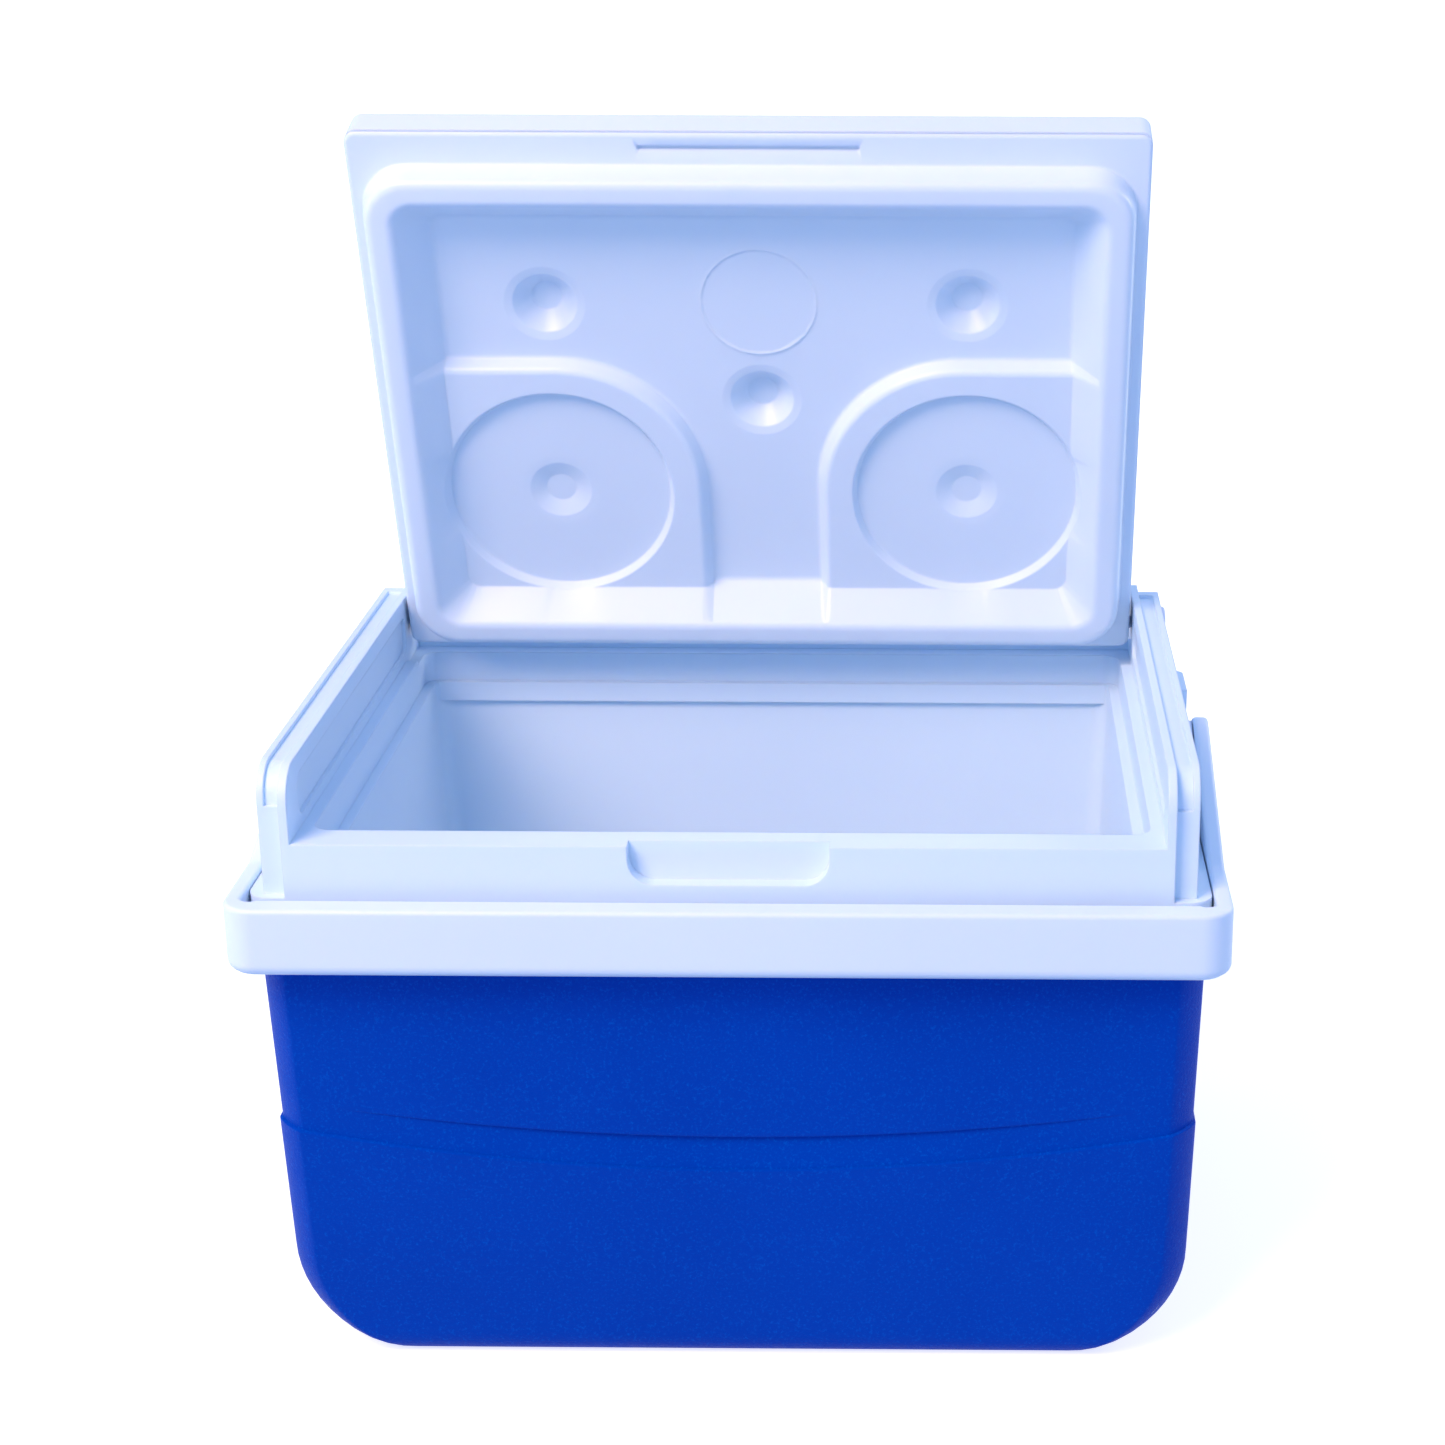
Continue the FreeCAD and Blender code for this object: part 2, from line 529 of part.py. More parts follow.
def lid_insulation():
    low = LID_REST + PANEL_RISE + LID_WALL + FOAM_GAP
    top = LID_UPPER - LID_WALL - FOAM_GAP
    sheet = lid_block(14.0, low, top, 10.0)
    sheet = cut_all(sheet, cup_well(LID_WALL + FOAM_GAP, low - 1, top + 1))
    return cut_all(sheet, dimples(1.5 + FOAM_GAP, 0.0))


def hinge_pin():
    """Right-hand hinge pin: shank through the rail into the lid, round head outside."""
    z = LID_REST + HINGE_HIGH
    shank = rod_x(PIN_INNER, RAIL_OUT + 0.5, HINGE_Y, z, PIN_RADIUS)
    head = rod_x(RAIL_OUT, RAIL_OUT + PIN_HEAD_THICK, HINGE_Y, z, PIN_HEAD)
    rim = [e for e in head.Edges if e.BoundBox.XMin > RAIL_OUT + PIN_HEAD_THICK - 1e-6]
    return shank.fuse(head.makeFillet(1.2, rim))


# ---- handle ------------------------------------------------------------------------------
def handle_side_outline():
    """The handle seen from the side, as a face that is swept right across it."""
    x = -ARM_OUT - 1
    climb = math.radians(73)
    top_in = Vector(x, PIVOT_Y - HUB_RADIUS * math.cos(climb), PIVOT_Z + HUB_RADIUS * math.sin(climb))
    low_in = Vector(x, PIVOT_Y + HUB_RADIUS * 0.3, PIVOT_Z - HUB_RADIUS * 0.954)
    points = [Vector(x, BAR_FRONT - 1, BAR_TOP), Vector(x, ARM_KINK_Y, BAR_TOP), top_in,
              Vector(x, PIVOT_Y, PIVOT_Z), low_in,
              Vector(x, ARM_KINK_Y + 8, BAR_BOTTOM), Vector(x, BAR_FRONT - 1, BAR_BOTTOM)]
    sweep = Vector(2 * ARM_OUT + 2, 0, 0)
    strap = extrude_outline(points, sweep)
    hub = Part.makeCylinder(HUB_RADIUS, sweep.x, Vector(x, PIVOT_Y, PIVOT_Z), Vector(1, 0, 0))
    return strap.fuse(hub)


def bail_handle():
    reach = PIVOT_Y + HUB_RADIUS + 20
    plan = tapered_block(-ARM_OUT, ARM_OUT, BAR_FRONT, reach, BAR_BOTTOM - 10, PIVOT_Z + 30,
                         BAR_CORNER, 0.0)
    inside = tapered_block(-ARM_IN, ARM_IN, BAR_BACK, reach + 20, BAR_BOTTOM - 20, PIVOT_Z + 40,
                           BAR_INNER_CORNER, 0.0)
    handle = plan.cut(inside).common(handle_side_outline())
    holes = both_sides(rod_x(ARM_IN - 2, ARM_OUT + 2, PIVOT_Y, PIVOT_Z, PIVOT_RADIUS + PIVOT_FIT))
    counterbore = rod_x(ARM_OUT - PIVOT_CAP_THICK - PIVOT_CAP_GAP, ARM_OUT + 2, PIVOT_Y, PIVOT_Z,
                        PIVOT_CAP + PIVOT_CAP_GAP)
    return cut_all(handle, holes + both_sides(counterbore))


def handle_pivot():
    """Right-hand pivot: a shank through the arm into the rail's side, with a sunk flat cap."""
    cap_x = ARM_OUT - PIVOT_CAP_THICK
    shank = rod_x(PIVOT_INNER, cap_x + 0.5, PIVOT_Y, PIVOT_Z, PIVOT_RADIUS)
    cap = rod_x(cap_x, cap_x + PIVOT_CAP_THICK, PIVOT_Y, PIVOT_Z, PIVOT_CAP)
    rim = [e for e in cap.Edges if e.BoundBox.XMin > ARM_OUT - 1e-6]
    return shank.fuse(cap.makeFillet(0.5, rim))


def handle_spacer():
    """Washer on the right-hand pivot that keeps the arm off the rail."""
    ring = rod_x(RAIL_OUT, ARM_IN - SPACER_GAP, PIVOT_Y, PIVOT_Z, SPACER_RADIUS)
    return ring.cut(rod_x(RAIL_OUT - 1, ARM_IN + 1, PIVOT_Y, PIVOT_Z, PIVOT_RADIUS))


def main():
    os.makedirs("parts", exist_ok=True)
    export("outer_tub", outer_tub())
    export("inner_liner", inner_liner())
    for name, board in insulation().items():
        export(name, board)
    export("lid_top_shell", swing_open(lid_top_shell()))
    export("lid_inner_shell", swing_open(lid_inner_shell()))
    export("lid_insulation", swing_open(lid_insulation()))
    pairs = {"lid_hinge_pin": hinge_pin(), "handle_pivot": handle_pivot(),
             "handle_spacer": handle_spacer()}
    for name, shape in pairs.items():
        export(name + "_right", shape)
        export(name + "_left", mirrored(shape))
    export("bail_handle", bail_handle())


main()
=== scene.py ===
import bpy
import json
import math
import numpy as np
from mathutils import Euler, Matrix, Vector
from mathutils.geometry import delaunay_2d_cdt


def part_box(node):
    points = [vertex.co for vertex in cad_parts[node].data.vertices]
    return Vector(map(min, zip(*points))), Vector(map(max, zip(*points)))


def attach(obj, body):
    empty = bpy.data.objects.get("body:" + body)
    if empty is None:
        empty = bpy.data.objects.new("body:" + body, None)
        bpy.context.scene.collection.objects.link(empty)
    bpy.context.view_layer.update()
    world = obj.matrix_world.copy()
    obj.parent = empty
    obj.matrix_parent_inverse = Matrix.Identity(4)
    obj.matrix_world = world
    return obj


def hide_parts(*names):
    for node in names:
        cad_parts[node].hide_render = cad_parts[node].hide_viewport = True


# Small cooler chest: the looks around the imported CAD. Sizes are in millimetres until a mesh
# is made, in the CAD's frame: +X right, +Y back (hinge side), +Z up.
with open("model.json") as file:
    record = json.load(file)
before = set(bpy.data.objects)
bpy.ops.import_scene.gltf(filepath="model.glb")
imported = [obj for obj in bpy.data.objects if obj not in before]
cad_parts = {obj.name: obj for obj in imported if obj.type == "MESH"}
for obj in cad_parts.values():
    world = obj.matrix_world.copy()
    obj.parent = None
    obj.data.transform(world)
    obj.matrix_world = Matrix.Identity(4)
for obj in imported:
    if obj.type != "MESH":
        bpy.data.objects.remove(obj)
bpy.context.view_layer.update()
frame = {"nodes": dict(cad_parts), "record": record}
NODES = frame["nodes"]
JOINTS = {j["name"]: j for j in frame["record"]["behaviour"]["joints"]}
MM = 0.001


def box_mm(node):
    low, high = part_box(node)
    return [v / MM for v in low], [v / MM for v in high]


# ---- driving dimensions ----------------------------------------------------------------
TUB_HIGH = box_mm("outer_tub")[1]
HANDLE_LOW, HANDLE_HIGH = box_mm("bail_handle")
LID_HIGH = box_mm("lid_inner_shell")[1]
HINGE_Y, HINGE_Z = [v / MM for v in JOINTS["lid_hinge"]["pos_m"][1:]]
PIVOT_Y, PIVOT_Z = [v / MM for v in JOINTS["handle_swing"]["pos_m"][1:]]
LID_OPEN = math.radians(-JOINTS["lid_hinge"]["range_deg"][0])

DRAFT = math.tan(math.radians(1.8))   # taper of the tub's walls
TUB_TOP = 134.0
TUB_CORNER = 7.5
CORNER_SQUARENESS = 1.35              # 2 would be a round corner, 1 a chamfer
TUB_SIDE_ROUND = 33.0
TUB_FRONT_ROUND = 7.0
UNIT_CORNER = 0.04                    # corner of the unit outline that is stretched over the tub
UNIT_FLAT = 1 - UNIT_CORNER
FACE_STARTS = 0.97                    # front and back of the unit outline lie beyond this
RIM_SHARE = (0.985, 0.98)             # the tub's top edge turns in to this share of its size
RIM_TURN_DOWN = 8.0
BAND_LOW = 61.0                       # height of the two curved lines at the middle
BAND_HIGH = 71.0
BAND_RISE = 14.5                      # how far the lower line climbs towards the corners
BAND_HIGH_RISE = BAND_RISE * 0.85
BAND_REACH = 10.0                     # the lines' arcs run this far past the tub's side
BAND_LEDGE = 0.7                      # the wall above the lower line is set in by this
BAND_UNDERCUT = 1.5                   # extra inset just under the upper line, at the middle
BAND_FADE = 114.0                     # the undercut is gone this far from the middle

# The lid is drawn closed: x across, s from its heel towards its toe, n below its flange.
LID_HALF_X = LID_HIGH[0]
LID_LONG = 177.1
LID_HEEL = 3.2                        # the heel lies this far behind the hinge
LID_UNDER_AXIS = 9.9                  # the flange lies this far under the hinge
LID_CORNER = 3.5
LID_SKIN = 1.4
RING_HALF_X = 112.4                   # foot of the plug ring
RING_HEEL = 5.0
RING_TOE = 9.7
RING_DEEP = 9.5
RING_CORNER = 14.0                    # the corner radius shrinks by a share of the distance inside
RING_CORNER_SHARE = 0.75
RING_CORNER_LEAST = 4.0
PANEL = -4.5
PLATE = 0.1                           # raised corner round each cup
PLATE_X = 18.5
PLATE_S = 101.0
PLATE_ROUND = 43.0
PLATE_MARGIN = 12.0                   # the corner's outline stops this far inside the lid's edge
PLATE_BEYOND = (160.0, -60.0)         # its open sides, well outside the lid
PLATE_IN_RING = 4.0                   # it starts this far inside the ring; the flange stays flat
NO_PLATE = -50.0
CUP_X = 63.3
CUP_S = 56.8
CUP_RADIUS = 35.0
CUP_LEVEL = -2.5


# ---- mesh helpers ----------------------------------------------------------------------
def make_piece(name, points, faces, material, body, replaces=()):
    """A new object from points in millimetres, smooth shaded; weighted normals are added by the
    caller.
    """
    mesh = bpy.data.meshes.new(name)
    mesh.from_pydata([[c * MM for c in p] for p in points], [], faces)
    mesh.validate()
    piece = bpy.data.objects.new(name, mesh)
    bpy.context.scene.collection.objects.link(piece)
    mesh.materials.append(material)
    for polygon in mesh.polygons:
        polygon.use_smooth = True
    if replaces:
        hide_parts(*replaces)
    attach(piece, body)
    return piece


def drilled(piece, holes):
    """Cut round holes along X; each is (x0, x1, y, z, radius) in millimetres."""
    cutters = []
    for x0, x1, y, z, radius in holes:
        ring = circle(y, z, radius, 64)
        points = [(x, a, b) for x in (x0, x1) for a, b in ring]
        count = len(ring)
        faces = [(k, (k + 1) % count, count + (k + 1) % count, count + k) for k in range(count)]
        faces += [tuple(reversed(range(count))), tuple(range(count, 2 * count))]
        mesh = bpy.data.meshes.new("drill")
        mesh.from_pydata([[c * MM for c in p] for p in points], [], faces)
        cutter = bpy.data.objects.new("drill", mesh)
        bpy.context.scene.collection.objects.link(cutter)
        cutters.append(cutter)
        cut = piece.modifiers.new("hole", "BOOLEAN")
        cut.operation = "DIFFERENCE"
        cut.solver = "EXACT"
        cut.object = cutter
    solid = piece.evaluated_get(bpy.context.evaluated_depsgraph_get())
    cut_mesh = bpy.data.meshes.new_from_object(solid)
    piece.modifiers.clear()
    piece.data = cut_mesh
    for polygon in cut_mesh.polygons:
        polygon.use_smooth = True
    cut_mesh.set_sharp_from_angle(angle=math.radians(40))
    for cutter in cutters:
        bpy.data.objects.remove(cutter, do_unlink=True)


def weighted_normals(piece):
    normals = piece.modifiers.new("normals", "WEIGHTED_NORMAL")
    normals.keep_sharp = True
    normals.weight = 80


def grid_faces(rows, columns):
    """Quads between neighbouring closed rows of points."""
    faces = []
    for r in range(rows - 1):
        for c in range(columns):
            d = (c + 1) % columns
            faces.append((r * columns + c, r * columns + d, (r + 1) * columns + d,
                          (r + 1) * columns + c))
    return faces


def soft_profile(points, radii, steps=5):
    """A polyline in the plane whose inner corners are rounded with the given radii."""
    result = [points[0]]
    for before, here, after, radius in zip(points, points[1:], points[2:], radii):
        here = np.array(here, float)
        a = np.array(before) - here
        b = np.array(after) - here
        reach_a, reach_b = np.linalg.norm(a), np.linalg.norm(b)
        a, b = a / reach_a, b / reach_b
        half = math.acos(max(-1.0, min(1.0, float(a @ b)))) / 2
        cut = min(radius / math.tan(half), 0.49 * reach_a, 0.49 * reach_b)
        start, end = here + a * cut, here + b * cut
        for k in range(steps + 1):
            t = k / steps
            result.append(tuple((1 - t) ** 2 * start + 2 * t * (1 - t) * here + t ** 2 * end))
    result.append(points[-1])
    return np.array(result, float)


def rounded_outline(x0, x1, y0, y1, radius, step=6.0, arc=8):
    """Points round a rectangle with round corners, anticlockwise."""
    radius = max(radius, 0.01)
    centres = ((x1 - radius, y0 + radius, -90), (x1 - radius, y1 - radius, 0),
               (x0 + radius, y1 - radius, 90), (x0 + radius, y0 + radius, 180))
    points = []
    for cx, cy, start in centres:
        for k in range(arc + 1):
            a = math.radians(start + 90 * k / arc)
            points.append((cx + radius * math.cos(a), cy + radius * math.sin(a)))
    full = []
    for here, after in zip(points, points[1:] + points[:1]):
        length = math.dist(here, after)
        pieces = max(1, round(length / step))
        for k in range(pieces):
            t = k / pieces
            full.append((here[0] + (after[0] - here[0]) * t, here[1] + (after[1] - here[1]) * t))
    return full


def circle(cx, cy, radius, count=72):
    turns = [2 * math.pi * k / count for k in range(count)]
    return [(cx + radius * math.cos(a), cy + radius * math.sin(a)) for a in turns]


def round_box_distance(x, y, x0, x1, y0, y1, radius):
    """Signed distance to a rounded rectangle, negative inside."""
    qx = np.abs(x - (x0 + x1) / 2) - (x1 - x0) / 2 + radius
    qy = np.abs(y - (y0 + y1) / 2) - (y1 - y0) / 2 + radius
    outside = np.hypot(np.maximum(qx, 0), np.maximum(qy, 0))
    return outside + np.minimum(np.maximum(qx, qy), 0) - radius


def sheet_from_outlines(outlines, height):
    """Triangles over the first outline, with edges along every outline, lifted by height(x, y)."""
    points, edges = [], []
    for outline in outlines:
        first = len(points)
        points += [Vector(p) for p in outline]
        count = len(outline)
        edges += [(first + k, first + (k + 1) % count) for k in range(count)]
    flat, _, faces = delaunay_2d_cdt(points, edges, [], 0, 1e-5, False)[:3]
    xs = np.array([p.x for p in flat])
    ys = np.array([p.y for p in flat])
    return list(zip(xs, ys, height(xs, ys))), [tuple(f) for f in faces]


# ---- materials -------------------------------------------------------------------------
def moulded_plastic(name, colour, shade, roughness, grain, grain_size, sheen_spread,
                    subsurface=0.0, specular=0.5, edge_radius=0.0009, speck=None):
    """Injection-moulded plastic: fine spark grain, slow waviness, uneven gloss and faint scuffs."""
    material = bpy.data.materials.new(name)
    material.use_nodes = True
    tree = material.node_tree
    node, link = tree.nodes.new, tree.links.new
    shader = tree.nodes["Principled BSDF"]
    where = node("ShaderNodeTexCoord").outputs["Object"]

    def noise(scale, detail, rough=0.5):
        texture = node("ShaderNodeTexNoise")
        texture.inputs["Scale"].default_value = scale
        texture.inputs["Detail"].default_value = detail
        texture.inputs["Roughness"].default_value = rough
        link(where, texture.inputs["Vector"])
        return texture.outputs["Fac"]

    def ramp(source, low, high, from_value, to_value):
        change = node("ShaderNodeMapRange")
        change.inputs["From Min"].default_value = low
        change.inputs["From Max"].default_value = high
        change.inputs["To Min"].default_value = from_value
        change.inputs["To Max"].default_value = to_value
        link(source, change.inputs["Value"])
        return change.outputs["Result"]

    cloud = noise(14.0, 3.0)
    mix = node("ShaderNodeMix")
    mix.data_type = "RGBA"
    mix.inputs[6].default_value = (*shade, 1)
    mix.inputs[7].default_value = (*colour, 1)
    link(ramp(cloud, 0.35, 0.65, 0.0, 1.0), mix.inputs[0])
    tint = mix.outputs[2]
    if speck:
        dots = node("ShaderNodeMix")
        dots.data_type = "RGBA"
        dots.inputs[7].default_value = (*speck, 1)
        link(ramp(noise(1200.0, 2.0, 0.7), 0.53, 0.75, 0.0, 0.5), dots.inputs[0])
        link(tint, dots.inputs[6])
        tint = dots.outputs[2]
        shader.inputs["Specular Tint"].default_value = (*speck, 1)
    link(tint, shader.inputs["Base Color"])

    scuff = node("ShaderNodeTexNoise")
    scuff.inputs["Scale"].default_value = 60.0
    scuff.inputs["Detail"].default_value = 6.0
    stretch = node("ShaderNodeMapping")
    stretch.inputs["Scale"].default_value = (0.25, 1.0, 2.2)
    link(where, stretch.inputs["Vector"])
    link(stretch.outputs["Vector"], scuff.inputs["Vector"])
    gloss = node("ShaderNodeMath")
    gloss.operation = "ADD"
    link(ramp(scuff.outputs["Fac"], 0.58, 0.75, 0.0, sheen_spread), gloss.inputs[0])
    link(ramp(cloud, 0.3, 0.7, roughness - 0.04, roughness + 0.04), gloss.inputs[1])
    link(gloss.outputs[0], shader.inputs["Roughness"])

    wave = node("ShaderNodeBump")
    wave.inputs["Strength"].default_value = 0.25
    wave.inputs["Distance"].default_value = 0.0004
    link(noise(26.0, 2.0), wave.inputs["Height"])
    spark = node("ShaderNodeBump")
    spark.inputs["Strength"].default_value = grain
    spark.inputs["Distance"].default_value = 0.00025
    link(noise(grain_size, 4.0, 0.65), spark.inputs["Height"])
    edge = node("ShaderNodeBevel")
    edge.samples = 6
    edge.inputs["Radius"].default_value = edge_radius
    link(edge.outputs["Normal"], wave.inputs["Normal"])
    link(wave.outputs["Normal"], spark.inputs["Normal"])
    link(spark.outputs["Normal"], shader.inputs["Normal"])
    shader.inputs["Specular IOR Level"].default_value = specular
    shader.inputs["Subsurface Weight"].default_value = subsurface
    shader.inputs["Subsurface Radius"].default_value = (0.35, 0.6, 1.0)
    shader.inputs["Subsurface Scale"].default_value = 0.004
    return material


# The whites carry a blue tint that the warm key light evens out.
WHITE, WHITE_SHADE = (0.74, 0.86, 0.99), (0.725, 0.845, 0.98)
LINER, LINER_SHADE = (0.705, 0.855, 0.99), (0.69, 0.84, 0.98)
PIN_SHADE = (0.74, 0.81, 0.95)
BLUE, BLUE_SHADE, BLUE_SPECK = (0.0, 0.054, 0.43), (0.0, 0.048, 0.40), (0.0, 0.13, 0.62)
FOAM, FOAM_SHADE = (0.92, 0.92, 0.9), (0.86, 0.86, 0.84)
liner_white = moulded_plastic("liner_plastic", LINER, LINER_SHADE, 0.42, 0.10, 1500.0, 0.12,
                              0.15, edge_radius=0.0007)
white = moulded_plastic("white_plastic", WHITE, WHITE_SHADE, 0.42, 0.10, 1500.0, 0.12,
                        0.15, edge_radius=0.0012)
lid_white = moulded_plastic("lid_plastic", WHITE, WHITE_SHADE, 0.38, 0.06, 1500.0, 0.12, 0.15)
pin_white = moulded_plastic("pin_plastic", WHITE_SHADE, PIN_SHADE, 0.45, 0.15, 1800.0, 0.1)
blue = moulded_plastic("blue_plastic", BLUE, BLUE_SHADE, 0.5, 0.7, 1300.0, 0.1,
                       specular=0.12, edge_radius=0.0004, speck=BLUE_SPECK)
foam = moulded_plastic("foam", FOAM, FOAM_SHADE, 0.85, 0.9, 380.0, 0.05)


# ---- tub -------------------------------------------------------------------------------
def band_curve(middle, rise, x):
    far = TUB_HIGH[0] + BAND_REACH
    radius = (far ** 2 + rise ** 2) / (2 * rise)
    return middle + radius - math.sqrt(radius ** 2 - x ** 2)


def turned_under(half, radius, z):
    """Half width at height z of a drafted wall that is `half` wide at the top."""
    low = half - TUB_TOP * DRAFT
    centre = low + radius * DRAFT - radius * math.hypot(1, DRAFT)
    if z < radius:
        return centre + math.sqrt(max(0.0, radius ** 2 - (radius - z) ** 2))
    return low + z * DRAFT


def tub_levels(x, on_face):
    """(height, how far the wall is set in) up one column of the tub."""
    under = [TUB_SIDE_ROUND * (1 - math.cos(math.pi / 2 * k / 14)) for k in range(15)]
    low = band_curve(BAND_LOW, BAND_RISE, x)
    high = band_curve(BAND_HIGH, BAND_HIGH_RISE, x)
    cut = BAND_UNDERCUT * max(0.0, 1 - (x / BAND_FADE) ** 2) if on_face else 0.0
    levels = [(z, 0.0) for z in under]
    levels += [(under[-1] + (low - 1.2 - under[-1]) * k / 5, 0.0) for k in range(1, 6)]
    levels += [(low - 0.3, 0.0), (low - 0.12, 0.03), (low, 0.14), (low + 0.16, BAND_LEDGE),
               (low + 0.3, BAND_LEDGE)]
    for t in (0.15, 0.35, 0.6, 0.85, 0.97):
        levels.append((low + (high - low) * t, BAND_LEDGE + cut * t))
    levels += [(high, BAND_LEDGE + cut * 0.9), (high + 0.12, BAND_LEDGE + cut * 0.12)]
    levels += [(high + 0.4, BAND_LEDGE), (high + 1.4, BAND_LEDGE)]
    levels += [(high + 1.4 + (TUB_TOP - 1.4 - high) * k / 8, BAND_LEDGE) for k in range(1, 9)]
    return levels


def squared_corner(u, v):
    """Point of the unit outline, with a corner's quarter round flattened towards a chamfer."""
    cu, cv = (abs(u) - UNIT_FLAT) / UNIT_CORNER, (abs(v) - UNIT_FLAT) / UNIT_CORNER
    if cu <= 0 or cv <= 0:
        return u, v
    keep = (cu ** CORNER_SQUARENESS + cv ** CORNER_SQUARENESS) ** (-1 / CORNER_SQUARENESS)
    return (math.copysign(UNIT_FLAT + UNIT_CORNER * cu * keep, u),
            math.copysign(UNIT_FLAT + UNIT_CORNER * cv * keep, v))


def stretched(t, half, corner):
    """The unit outline's coordinate on a side `half` long, its corner keeping its radius."""
    if abs(t) > UNIT_FLAT:
        return math.copysign((abs(t) - UNIT_FLAT) / UNIT_CORNER * corner + half - corner, t)
    return t / UNIT_FLAT * (half - corner)


def tub():
    half_x, half_y = TUB_HIGH[0], TUB_HIGH[1]
    flat = rounded_outline(-1, 1, -1, 1, UNIT_CORNER, UNIT_CORNER, 12)
    columns = []
    for u, v in flat:
        u, v = squared_corner(u, v)
        nominal_x = max(-1, min(1, u)) * half_x
        on_face = abs(v) > FACE_STARTS
        column = []
        for z, inset in tub_levels(nominal_x, on_face):
            a = turned_under(half_x, TUB_SIDE_ROUND, z) - inset
            b = turned_under(half_y, TUB_FRONT_ROUND, z) - inset
            corner = min(TUB_CORNER, a, b)
            column.append((stretched(u, a, corner), stretched(v, b, corner), z))
        rim_x, rim_y, rim_z = column[-1]
        turned_in = (rim_x * RIM_SHARE[0], rim_y * RIM_SHARE[1])
        column += [(*turned_in, rim_z), (*turned_in, rim_z - RIM_TURN_DOWN)]
        columns.append(column)
    points = [p for column in columns for p in column]
    rows = len(columns[0])
    faces = []
    for c in range(len(columns)):
        d = (c + 1) % len(columns)
        for r in range(rows - 1):
            faces.append((c * rows + r, d * rows + r, d * rows + r + 1, c * rows + r + 1))
    faces.append(tuple(c * rows for c in reversed(range(len(columns)))))
    piece = make_piece("tub_moulding", points, faces, blue, "chest", ["outer_tub"])
    piece.data.set_sharp_from_angle(angle=math.radians(38))
    weighted_normals(piece)


# ---- lid -------------------------------------------------------------------------------
def lid_place(x, s, n):
    """Closed-lid place (across, from the heel, below the flange) to where the open lid has it."""
    dy = LID_HEEL - s
    dz = -LID_UNDER_AXIS - n
    c, k = math.cos(LID_OPEN), math.sin(LID_OPEN)
    return (x, HINGE_Y + dy * c + dz * k, HINGE_Z - dy * k + dz * c)


RING_PROFILE = soft_profile([(-6, 0), (0, 0), (1.3, RING_DEEP), (8.9, RING_DEEP),
                             (18.0, PANEL), (30, PANEL)], [0.7, 3.0, 3.4, 2.6])
PLATE_PROFILE = soft_profile([(-6, PANEL), (-1.6, PANEL), (0.9, PLATE), (6, PLATE)], [1.6, 2.4])
DISC_PROFILE = soft_profile([(-4, 0), (-0.5, 0), (0.9, 1), (4, 1)], [0.5, 0.5], 4)
DIMPLE_PROFILE = soft_profile([(0, 1), (4.6, 1), (9.6, 0.08), (12.2, 0), (20, 0)],
                              [1.0, 2.4, 1.5], 4)
EDGE_PROFILE = soft_profile([(0, -0.9), (0.05, -0.5), (0.9, 0), (3, 0)], [0.3, 0.6], 3)
LABEL_X, LABEL_S, LABEL_RADIUS = 0.7, 121.5, 17.3
LABEL_RISE, LABEL_LINE = 0.32, (0.2, 0.55)
DIMPLE_DEEP, CUP_DIMPLE_DEEP = 5.9, 1.9
DIMPLES = ((-CUP_X, 120.5, DIMPLE_DEEP), (CUP_X, 120.5, DIMPLE_DEEP), (0.6, 88.2, DIMPLE_DEEP),
           (-CUP_X, CUP_S, CUP_DIMPLE_DEEP), (CUP_X, CUP_S, CUP_DIMPLE_DEEP))
SLOT_HALF, SLOT_S, SLOT_WIDE = 32.0, LID_LONG - 4.4, 1.6
SLOT_DEEP, SLOT_EDGE = 1.3, (-0.25, 0.1)


def ring_outline_size(d):
    return (-RING_HALF_X + d, RING_HALF_X - d, RING_HEEL + d, LID_LONG - RING_TOE - d,
            max(RING_CORNER - d * RING_CORNER_SHARE, RING_CORNER_LEAST))


def inside_ring_by(x, s):
    """How far inside the ring's foot each point lies, counted along the ring's own outlines."""
    low, high = np.full_like(x, -12.0), np.full_like(x, 70.0)
    for _ in range(26):
        middle = (low + high) / 2
        radius = np.maximum(RING_CORNER - middle * RING_CORNER_SHARE, RING_CORNER_LEAST)
        inside = round_box_distance(x, s, -RING_HALF_X + middle, RING_HALF_X - middle,
                                    RING_HEEL + middle, LID_LONG - RING_TOE - middle,
                                    radius) < 0
        low, high = np.where(inside, middle, low), np.where(inside, high, middle)
    return low


def inside_plate_by(x, s):
    """How far inside the raised corner around a cup each point lies."""
    return -round_box_distance(np.abs(x), s, PLATE_X, PLATE_BEYOND[0], PLATE_BEYOND[1], PLATE_S,
                               PLATE_ROUND)


def smooth_maximum(a, b):
    """The larger of two heights, rounded over where they meet."""
    root = np.sqrt((a - b) ** 2 + 1.0)
    return (a + b + root) / 2 - 0.5 / root * 0.5


